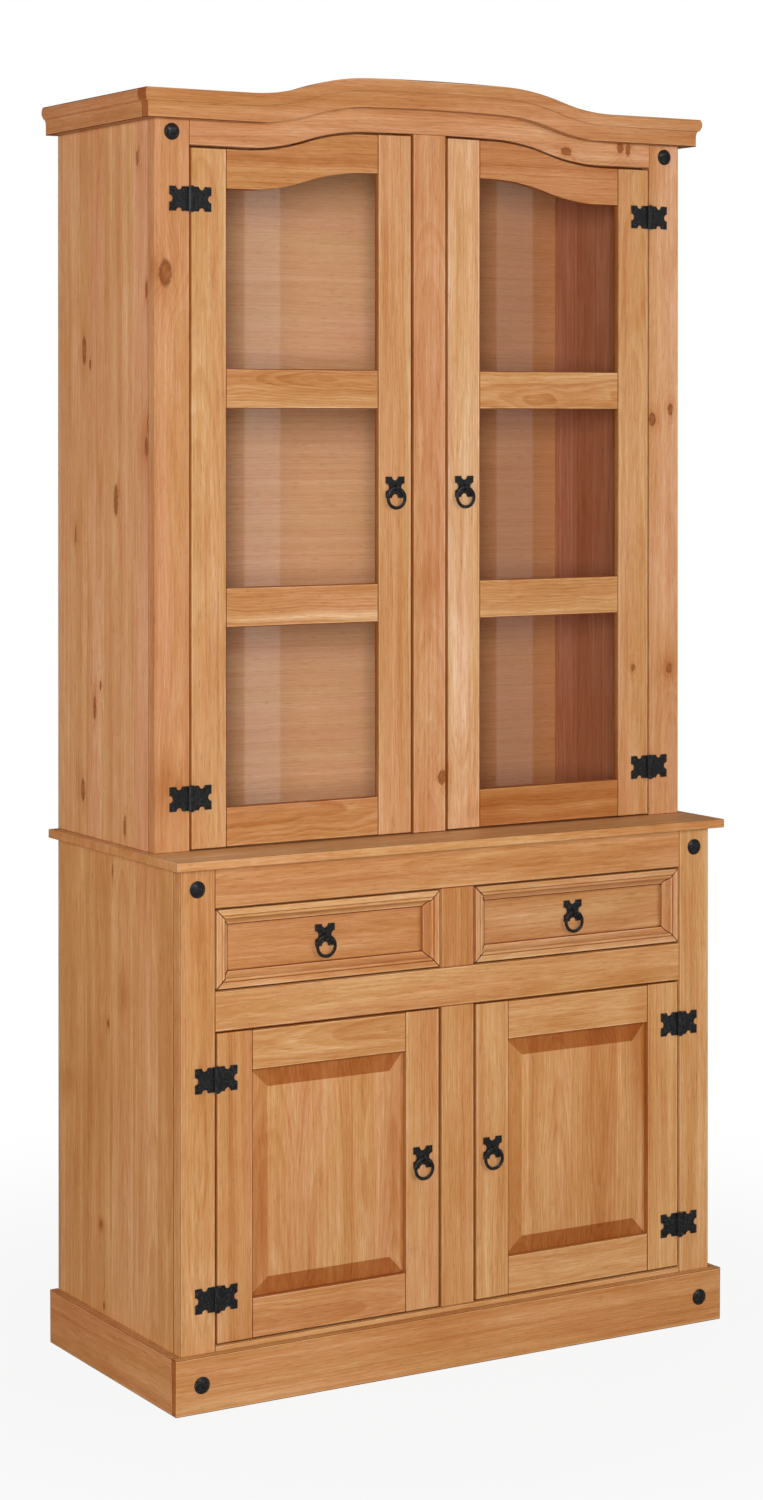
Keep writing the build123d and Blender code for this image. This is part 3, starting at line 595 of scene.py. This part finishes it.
def mark_grain(mesh, node):
    """Gives each board its own grain, and each face its stain, as attributes that the pine reads."""
    grain = mesh.loops.layers.float_vector.new("grain")
    board = mesh.faces.layers.float_vector.new("board")
    lean = mesh.faces.layers.float_vector.new("lean")
    stain = mesh.faces.layers.float_vector.new("stain")
    half_width = mesh.faces.layers.float.new("half_width")
    ends = mesh.loops.layers.float_vector.new("ends")
    worn = mesh.faces.layers.int["worn"]
    mesh.normal_update()
    tone, more, yellow = (sum(t[i] for part, t in tones.items() if part in node) for i in range(3))
    figure = sum(f for part, f in figured.items() if part in node)
    shouldered = any(part in node for part in shouldered_parts)
    mitred = "moulding" in node
    moulded = mitred or "cornice" in node
    soft_edge = "side" in node or "_stiles" in node and "door" not in node
    node_low, node_high = span(mesh.faces)
    for number, faces in enumerate(strips(mesh) if mitred else solids(mesh)):
        low, high = span(faces)
        size = high - low
        along = grain_direction(node, size)
        depth = min((X, Y, Z), key=lambda axis: size[axis] if axis != along else math.inf)
        across = 3 - along - depth
        outward = math.copysign(1.0, low[across] + high[across] - node_low[across] - node_high[across])
        edges = [low[across], *glue_lines.get(node, ()), high[across]]
        for face in faces:
            centre = face.calc_center_median()[across]
            plank = sum(centre > e for e in edges[1:-1])
            middle = (edges[plank] + edges[plank + 1]) / 2
            width = edges[plank + 1] - edges[plank]
            log, slant, uptake, tint = board_values(f"{node} {number} {plank}", width)
            face[board], face[lean] = log, (*slant, figure)
            uptake += more + single_uptake.get((node, number), 0.0)
            # rounded faces take less stain: a painted highlight along the eased edges
            uptake += sloped_uptake(node, face.normal[along], face.normal[across]) - face[worn] * 0.3
            # painted shade: the faces of a moulding's narrow grooves are stained much darker
            if moulded and in_quirk(face):
                uptake += 2.0
            shift = face_tones(node, face.normal)
            face[stain] = (tone + shift[0], uptake + shift[1], yellow + tint + shift[2])
            flat = abs(face.normal[across]) < ALONG_AXIS
            face[half_width] = width / 2 if flat and len(edges) == 2 and not soft_edge else FAR
            for loop in face.loops:
                place = loop.vert.co
                inset = size[across] / 2 - outward * (place[across] - middle) if mitred else 0.0
                near, far = place[along] - low[along] - inset, high[along] - place[along] - inset
                outer_edge = FAR
                if flat and len(edges) > 2 and plank in (0, len(edges) - 2):
                    board_edge = edges[0 if plank == 0 else -1]
                    outer_edge = abs(place[across] - board_edge) - extra_joint.get(node, 0.0)
                loop[ends] = (near, far, outer_edge) if shouldered else (FAR, FAR, outer_edge)
                loop[grain] = (place[along] - low[along], place[across] - middle,
                               place[depth] - (low[depth] + high[depth]) / 2)
    return mesh


def cut_planks(mesh, node):
    """Splits the faces of a glued-up panel at its glue lines."""
    low, high = span(mesh.faces)
    size = high - low
    along, depth = grain_direction(node, size), min((X, Y, Z), key=lambda axis: size[axis])
    if node in flat_boards:
        along, depth = X, Z
    across = 3 - along - depth
    normal = Vector([float(axis == across) for axis in (X, Y, Z)])
    for place in glue_lines.get(node, ()):
        everything = [*mesh.verts, *mesh.edges, *mesh.faces]
        bmesh.ops.bisect_plane(
            mesh, geom=everything, plane_co=normal * place, plane_no=normal, dist=0.001 * MM)


def body_of(node):
    """Name of the body that a node rides on."""
    return next(b for b, nodes in frame["record"]["behaviour"]["bodies"].items() if node in nodes)


def dress_boards(nodes, material, ease, inside=None):
    """Replaces CAD boards by copies with eased edges and marked grain.

    inside is a second finish, for the faces that look into the hutch: a pinker, darker copy that paints
    their shade.
    """
    for node in nodes:
        mesh = merged(node)
        ease_edges(mesh, ease)
        cut_planks(mesh, node)
        mark_grain(mesh, node)
        data = bpy.data.meshes.new(f"{node}_eased")
        mesh.to_mesh(data)
        mesh.free()
        data.materials.append(material)
        if inside:
            data.materials.append(inside)
            for polygon in data.polygons:
                polygon.material_index = int(faces_inside(polygon.normal))
        piece = placed(f"{node}_eased", data)
        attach(piece, body_of(node))
        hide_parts(node)


def dress_node(node, material):
    """Gives a CAD node a finish, in its own material slots."""
    data = frame["nodes"][node].data
    if not data.materials:
        data.materials.append(material)
    for number in range(len(data.materials)):
        data.materials[number] = material


def left_and_right(*nodes):
    """Node names with each side's word in place of the braces."""
    return [node.format(side) for node in nodes for side in ("left", "right")]


# Knots and darker smudges as (across, up, half width, half height), by Y on the left side and X elsewhere;
# the back's one smudge is a painted shadow.
side_knots = (
    (-0.057, 1.748, 0.0035, 0.010), (-0.086, 1.560, 0.003, 0.011), (0.118, 1.478, 0.0065, 0.019),
    (0.098, 1.457, 0.003, 0.008), (-0.092, 1.370, 0.0035, 0.012), (-0.086, 1.338, 0.004, 0.012),
    (0.012, 1.261, 0.0065, 0.022), (0.148, 1.207, 0.0025, 0.011), (0.064, 0.990, 0.003, 0.007),
    (0.083, 0.957, 0.005, 0.016), (0.123, 0.833, 0.006, 0.016), (-0.016, 0.795, 0.0035, 0.014),
    (0.024, 0.727, 0.002, 0.011), (0.038, 0.503, 0.003, 0.006), (0.062, 0.207, 0.0045, 0.006),
    (0.052, 0.091, 0.0025, 0.005),
)
side_smudges = ((-0.010, 0.553, 0.020, 0.030), (0.176, 0.398, 0.022, 0.022), (-0.080, 1.345, 0.012, 0.040))
front_knots = (
    (-0.436, 1.583, 0.0095, 0.018), (0.343, 1.796, 0.006, 0.011), (0.358, 1.791, 0.005, 0.009),
    (0.404, 1.377, 0.0055, 0.010), (0.438, 1.393, 0.0045, 0.009), (0.368, 0.995, 0.0035, 0.0055),
    (0.436, 0.992, 0.005, 0.008), (0.022, 0.847, 0.0075, 0.0115), (0.243, 1.784, 0.009, 0.006),
)
front_smudges = (
    (0.0, 1.13, 0.020, 0.035), (-0.425, 0.86, 0.025, 0.03), (-0.13, 0.86, 0.012, 0.014),
    (-0.19, 0.87, 0.016, 0.012), (0.33, 0.42, 0.022, 0.11), (0.105, 0.793, 0.028, 0.010),
    (0.436, 1.00, 0.018, 0.035),
)
# A painted shadow over the right part of the hutch's back, set out like a smudge.
back_painted_shadow = ((0.365, 1.3, 0.14, 1.4),)


# ---------------------------------------------------------------- iron and glass
def black_iron(look):
    """Hammered iron under black lacquer, with worn specks."""
    iron = Finish("black_iron")
    place = iron.place()
    marks = iron.node("ShaderNodeTexVoronoi", {"feature": "SMOOTH_F1"},
                      {"Vector": place, "Scale": 1 / look.hammer_mark, "Smoothness": 0.6}, "Distance")
    grit = iron.noise(iron.scaled(place, 650.0), 2.0)
    patch = iron.noise(iron.scaled(place, 260.0), 3.0)
    colour = iron.mix(look.black, look.worn, grit.step(0.10, 0.34) * (0.7 + patch))
    roughness = 0.42 + patch * 0.25 + grit * 0.2
    normal = iron.bump(marks * 0.9 + grit * 0.12, 0.35 * MM, 0.8)
    inputs = {"Base Color": colour, "Roughness": roughness, "Normal": normal,
              "Specular IOR Level": 0.55, "Coat Weight": 0.25, "Coat Roughness": 0.3}
    return iron.finish(iron.node("ShaderNodeBsdfPrincipled", None, inputs))


def window_glass(look):
    """Clear glass: lets light and shadows through and mirrors by angle."""
    glass = Finish("window_glass")
    facing = glass.node("ShaderNodeLayerWeight", None, {"Blend": 0.5}, "Facing")
    head_on = ((look.index - 1) / (look.index + 1)) ** 2
    fresnel = facing ** 5 * (1 - head_on) + head_on
    smear = glass.noise(glass.scaled(glass.place(), 14.0), 3.0)
    clear = glass.node("ShaderNodeBsdfTransparent", None, {"Color": rgba(look.tint)})
    mirror = glass.node("ShaderNodeBsdfGlossy", None, {"Color": (1, 1, 1, 1), "Roughness": 0.0})
    share = (fresnel * (1.0 + smear * 0.15)).least(1.0)
    return glass.finish(glass.node("ShaderNodeMixShader", None, {0: share, 1: clear, 2: mirror}))


# ---------------------------------------------------------------- nails
def nail_tree():
    """Geometry nodes that set a domed nail head on every point, facing the front."""
    tree = bpy.data.node_groups.new("nail_heads", "GeometryNodeTree")
    inputs = {"Geometry": "Geometry", "Radius": "Float", "Height": "Float", "Seed": "Int",
              "Material": "Material"}
    for name, kind in inputs.items():
        tree.interface.new_socket(name, in_out="INPUT", socket_type=f"NodeSocket{kind}")
    tree.interface.new_socket("Geometry", in_out="OUTPUT", socket_type="NodeSocketGeometry")
    entry = tree.nodes.new("NodeGroupInput")
    leave = tree.nodes.new("NodeGroupOutput")
    head = tree.nodes.new("GeometryNodeMeshUVSphere")
    head.inputs["Segments"].default_value = 12
    head.inputs["Rings"].default_value = 8
    head.inputs["Radius"].default_value = 1.0
    size = tree.nodes.new("ShaderNodeCombineXYZ")
    wobble = tree.nodes.new("FunctionNodeRandomValue")
    wobble.data_type = "FLOAT"
    wobble.inputs[2].default_value = 0.88
    wobble.inputs[3].default_value = 1.12
    scaled = tree.nodes.new("ShaderNodeVectorMath")
    scaled.operation = "SCALE"
    spread = tree.nodes.new("GeometryNodeInstanceOnPoints")
    solid = tree.nodes.new("GeometryNodeRealizeInstances")
    smooth = tree.nodes.new("GeometryNodeSetShadeSmooth")
    coat = tree.nodes.new("GeometryNodeSetMaterial")
    wires = [
        (entry.outputs["Radius"], size.inputs["X"]), (entry.outputs["Height"], size.inputs["Y"]),
        (entry.outputs["Radius"], size.inputs["Z"]), (size.outputs[0], scaled.inputs[0]),
        (entry.outputs["Seed"], wobble.inputs["Seed"]), (wobble.outputs[1], scaled.inputs["Scale"]),
        (entry.outputs["Geometry"], spread.inputs["Points"]),
        (head.outputs["Mesh"], spread.inputs["Instance"]),
        (scaled.outputs[0], spread.inputs["Scale"]), (spread.outputs[0], solid.inputs[0]),
        (solid.outputs[0], smooth.inputs[0]), (smooth.outputs[0], coat.inputs["Geometry"]),
        (entry.outputs["Material"], coat.inputs["Material"]), (coat.outputs[0], leave.inputs[0]),
    ]
    for start, end in wires:
        tree.links.new(start, end)
    return tree


def nail_places(node):
    """Where the nails go: three on each hinge leaf and two on each pull's plate."""
    mesh = bmesh.new()
    mesh.from_mesh(frame["nodes"][node].data)
    bmesh.ops.remove_doubles(mesh, verts=mesh.verts, dist=WELD)
    leaf_size, plate_size, sheet = 34.5 * MM, 30 * MM, 2 * MM
    ear_inset, ear_lift, waist_inset = 4.6 * MM, 12.6 * MM, 15.5 * MM
    plate_step = 11.6 * MM
    places = []
    on_frame = node == "frame_hinges"
    for faces in solids(mesh):
        low, high = span(faces)
        size, middle = high - low, (low + high) / 2
        front = high.y - sheet
        if size.x > leaf_size and size.z > leaf_size:
            outward = math.copysign(1, middle.x) * (1 if on_frame else -1)
            ears = high.x if outward > 0 else low.x
            places += [(ears - outward * ear_inset, front, middle.z + side * ear_lift)
                       for side in (-1, 1)]
            places.append((ears - outward * waist_inset, front, middle.z))
        elif size.x > plate_size:
            places += [(middle.x + side * plate_step, front, middle.z + side * plate_step)
                       for side in (-1, 1)]
    mesh.free()
    return places


def set_nails(body, nodes, tree, look, material):
    """One mesh of nail heads for each body."""
    places = [place for node in nodes for place in nail_places(node)]
    points = bpy.data.meshes.new(f"{body}_nail_points")
    points.from_pydata(places, [], [])
    carrier = placed(f"{body}_nail_points", points)
    modifier = carrier.modifiers.new("nails", "NODES")
    modifier.node_group = tree
    values = {"Radius": look.nail_radius, "Height": look.nail_height, "Seed": 3, "Material": material}
    for item in tree.interface.items_tree:
        if item.in_out == "INPUT" and item.name in values:
            modifier[item.identifier] = values[item.name]
    evaluated = carrier.evaluated_get(bpy.context.evaluated_depsgraph_get())
    data = bpy.data.meshes.new_from_object(evaluated)
    data.name = f"{body}_nails"
    bpy.data.objects.remove(carrier)
    piece = placed(f"{body}_nails", data)
    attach(piece, body)


# ---------------------------------------------------------------- operators
class CABINET_OT_case(bpy.types.Operator):
    """Boards of the carcass: sides, stiles, rails, top, floors, shelves and plinth."""

    bl_idname = "cabinet.case"
    bl_label = "Carcass boards"

    def execute(self, context):
        look = context.scene.cabinet_boards
        plain = pine("pine_case", look)
        front = pine("pine_front", look, front_knots, front_smudges)
        side = pine("pine_side", look, side_knots, side_smudges, (Y, Z))
        # a pinker, darker copy of the side's finish for the faces inside the hutch: painted shade
        inside = pine("pine_inside", look, painted_light_tint=(1.0, 0.90, 1.15))
        fronts = [*left_and_right("base_stile_{}"), "base_bottom_rail", "base_mid_rail", "base_top_rail",
                  "base_centre_stile", "drawer_divider", "hutch_stiles", "hutch_centre_stile",
                  "hutch_header"]
        others = ["base_side_right", "plinth_front", "plinth_returns", "buffet_top",
                  "base_floor", "base_shelf", "drawer_runners", "hutch_roof", "hutch_shelves"]
        dress_boards(["hutch_side_right"], side, look.ease, inside)
        dress_boards(["hutch_side_left", "base_side_left"], side, look.ease)
        dress_boards(fronts, front, look.ease)
        dress_boards(others, plain, look.ease)
        return {"FINISHED"}


class CABINET_OT_backs(bpy.types.Operator):
    """Thin back panels of base and hutch."""

    bl_idname = "cabinet.backs"
    bl_label = "Back panels"

    def execute(self, context):
        look = context.scene.cabinet_boards
        # the back panels are brightened: painted light, as the lamps reach little inside the hutch
        material = pine("pine_back", look, smudges_and_shadow=back_painted_shadow, painted_light_tint=(1.38, 1.41, 1.66),
                        contrast=0.3, calm=0.6)
        dress_boards(["hutch_back", "base_back"], material, look.ease / 2)
        return {"FINISHED"}


class CABINET_OT_cornice(bpy.types.Operator):
    """Moulded cornice."""

    bl_idname = "cabinet.cornice"
    bl_label = "Cornice"

    def execute(self, context):
        look = context.scene.cabinet_boards
        material = pine("pine_cornice", look)
        dress_boards(["cornice_front", "cornice_returns"], material, look.ease)
        return {"FINISHED"}


class CABINET_OT_doors(bpy.types.Operator):
    """Stiles, rails and panels of the four doors."""

    bl_idname = "cabinet.doors"
    bl_label = "Doors"

    def execute(self, context):
        look = context.scene.cabinet_boards
        material = pine("pine_door", look, front_knots, front_smudges)
        nodes = left_and_right(
            "hutch_door_{}_stiles", "hutch_door_{}_arch_rail", "hutch_door_{}_cross_rails",
            "base_door_{}_stiles", "base_door_{}_rails", "base_door_{}_panel")
        dress_boards(nodes, material, look.ease)
        return {"FINISHED"}


class CABINET_OT_drawers(bpy.types.Operator):
    """Fronts, mouldings and boxes of the two drawers."""

    bl_idname = "cabinet.drawers"
    bl_label = "Drawers"

    def execute(self, context):
        look = context.scene.cabinet_boards
        material = pine("pine_drawer", look)
        nodes = left_and_right("drawer_{}_front", "drawer_{}_moulding", "drawer_{}_box")
        dress_boards(nodes, material, look.ease / 2)
        return {"FINISHED"}


class CABINET_OT_glass(bpy.types.Operator):
    """Panes of the hutch doors."""

    bl_idname = "cabinet.glass"
    bl_label = "Glass"

    def execute(self, context):
        material = window_glass(context.scene.cabinet_glass)
        for node in left_and_right("hutch_door_{}_panes"):
            dress_node(node, material)
        return {"FINISHED"}


class CABINET_OT_ironwork(bpy.types.Operator):
    """Hinges, pulls, rings and studs, and the nails that hold them."""

    bl_idname = "cabinet.ironwork"
    bl_label = "Ironwork"

    def execute(self, context):
        look = context.scene.cabinet_iron
        material = black_iron(look)
        doors = left_and_right("hutch_door_{}", "base_door_{}")
        plates = left_and_right("drawer_{}_pull_plate")
        rings = left_and_right("hutch_ring_{}", "base_ring_{}", "drawer_ring_{}")
        for node in ["clavos", "frame_hinges", *plates, *rings, *(f"{door}_ironwork" for door in doors)]:
            dress_node(node, material)
        tree = nail_tree()
        set_nails("carcass", ["frame_hinges"], tree, look, material)
        for door in doors:
            set_nails(door, [f"{door}_ironwork"], tree, look, material)
        for drawer in left_and_right("drawer_{}"):
            set_nails(drawer, [f"{drawer}_pull_plate"], tree, look, material)
        return {"FINISHED"}


def lamp(name, place, target, width, height, power, diffuse=True, glossy=True):
    """Rectangular soft lamp that faces a point. diffuse and glossy say what it lights."""
    data = bpy.data.lights.new(name, "AREA")
    data.shape = "RECTANGLE"
    data.size, data.size_y = width, height
    data.energy = power
    holder = placed(name, data)
    holder.location = place
    holder.rotation_euler = (Vector(target) - Vector(place)).to_track_quat("-Z", "Y").to_euler()
    holder.visible_diffuse = diffuse
    holder.visible_glossy = glossy


# Streaks in the panes, from x to x, with each one's share of the strips' brightness.
streaks = ((-0.305, -0.247, 1.0), (0.124, 0.189, 0.7))
glass_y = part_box("hutch_door_left_panes")[0][Y]


def mirrored_strip(number, look, low, high, share):
    """Upright lamp that a pane mirrors to the camera between two x, and that lights nothing else."""
    ahead = 3.0      # from the glass to the lamp
    height = 2.3
    foot = 0.1       # from the floor to the lamp
    camera = Vector(look.camera_place)
    ends = [x + (x - camera.x) / (glass_y - camera.y) * ahead for x in (low, high)]
    width = ends[1] - ends[0]
    middle = (sum(ends) / 2, glass_y - ahead, height / 2 + foot)
    power = look.strip_radiance * share * math.pi * width * height
    lamp(f"strip_{number}", middle, (middle[0], 0.0, middle[2]), width, height, power, diffuse=False)


def floor_finish(look):
    """Pale floor that keeps the cabinet's shadow and fades to the white backdrop."""
    floor = Finish("studio_floor")
    x, y, _ = floor.split(floor.place())
    away = (x * x + y * y).root()
    mottle = 1.0 + floor.noise(floor.join(x * 3.0, y * 3.0, 0.0), 2.0) * 0.02
    mottle = mottle * (1.0 - floor.ray("Glossy") * 0.8)
    matt = floor.node("ShaderNodeBsdfDiffuse", None, {"Color": floor.scaled(look.floor_colour, mottle)})
    white = floor.node("ShaderNodeEmission", None, {"Color": (1, 1, 1, 1), "Strength": 1.0})
    share = (away.step(0.5, 1.6) * 0.10 + 0.90) * floor.ray("Camera").most(floor.ray("Transmission"))
    return floor.finish(floor.node("ShaderNodeMixShader", None, {0: share, 1: matt, 2: white}))


def studio_world(look):
    """Even room light, which shows as white behind the cabinet."""
    world = Finish("studio", "worlds")
    seen = world.ray("Camera").most(world.ray("Transmission"))
    strength = seen * (1.0 - look.sky_strength) + look.sky_strength
    light = world.node("ShaderNodeBackground", None, {"Color": (1, 1, 1, 1), "Strength": strength})
    return world.finish(light, "ShaderNodeOutputWorld")


class CABINET_OT_studio(bpy.types.Operator):
    """Floor, lamps and camera."""

    bl_idname = "cabinet.studio"
    bl_label = "Studio"

    def execute(self, context):
        look = context.scene.cabinet_studio
        context.scene.world = studio_world(look)
        reach = 9.0
        corners = [(-reach, -reach, 0), (reach, -reach, 0), (reach, reach, 0), (-reach, reach, 0)]
        data = bpy.data.meshes.new("studio_floor")
        data.from_pydata(corners, [], [(0, 1, 2, 3)])
        data.materials.append(floor_finish(look))
        placed("studio_floor", data)
        middle = (0.0, 0.0, 0.95)
        lamp("key", (3.0, -4.4, 2.0), middle, 2.4, 2.0, look.key_strength, glossy=False)
        lamp("front", (-2.8, -4.65, 1.55), middle, 0.8, 1.4, look.front_strength, glossy=False)
        lamp("side", (-4.6, 0.4, 1.6), middle, 2.0, 2.0, look.side_strength)
        lamp("rear", (3.6, 3.4, 2.4), middle, 2.0, 2.0, look.rear_strength, glossy=False)
        lamp("top", (0.0, -0.6, 4.6), middle, 3.0, 3.0, look.top_strength)
        lamp("glint", (-1.2, -3.6, 3.8), middle, 0.9, 0.9, look.glint_strength, diffuse=False)
        for number, (low, high, share) in enumerate(streaks):
            mirrored_strip(number, look, low, high, share)
        view = bpy.data.cameras.new("camera")
        view.sensor_fit = "VERTICAL"
        view.sensor_height = 36
        view.lens = look.lens
        view.shift_y = look.lens_shift
        view.clip_end = 60
        camera = placed("camera", view)
        camera.location = look.camera_place
        camera.rotation_euler = Euler((math.pi / 2 - look.camera_pitch, 0, -look.camera_yaw))
        context.scene.camera = camera
        context.scene.view_settings.view_transform = "Standard"
        return {"FINISHED"}


class CABINET_PT_panel(bpy.types.Panel):
    """Lists the settings and steps in the 3D view's sidebar."""

    bl_label = "Trastero cabinet"
    bl_space_type = "VIEW_3D"
    bl_region_type = "UI"
    bl_category = "Cabinet"

    def draw(self, context):
        for group in ("cabinet_boards", "cabinet_iron", "cabinet_glass", "cabinet_studio"):
            box = self.layout.box()
            settings = getattr(context.scene, group)
            for name in settings.__annotations__:
                box.prop(settings, name)
        for step in steps:
            self.layout.operator(step.bl_idname)


setting_groups = {
    "cabinet_boards": BoardSettings,
    "cabinet_iron": IronSettings,
    "cabinet_glass": GlassSettings,
    "cabinet_studio": StudioSettings,
}
steps = (CABINET_OT_case, CABINET_OT_backs, CABINET_OT_cornice, CABINET_OT_doors, CABINET_OT_drawers,
         CABINET_OT_glass, CABINET_OT_ironwork, CABINET_OT_studio)


def register():
    """Adds the settings, operators and panel to this session."""
    for group in (*setting_groups.values(), *steps, CABINET_PT_panel):
        bpy.utils.register_class(group)
    for name, group in setting_groups.items():
        setattr(bpy.types.Scene, name, bpy.props.PointerProperty(type=group))


def unregister():
    """Takes them out again."""
    for name in setting_groups:
        delattr(bpy.types.Scene, name)
    for group in (CABINET_PT_panel, *reversed(steps), *setting_groups.values()):
        bpy.utils.unregister_class(group)


def main():
    """Builds the cabinet's looks and its studio."""
    register()
    bpy.ops.cabinet.case()
    bpy.ops.cabinet.backs()
    bpy.ops.cabinet.cornice()
    bpy.ops.cabinet.doors()
    bpy.ops.cabinet.drawers()
    bpy.ops.cabinet.glass()
    bpy.ops.cabinet.ironwork()
    bpy.ops.cabinet.studio()


if __name__ == "__main__":
    main()
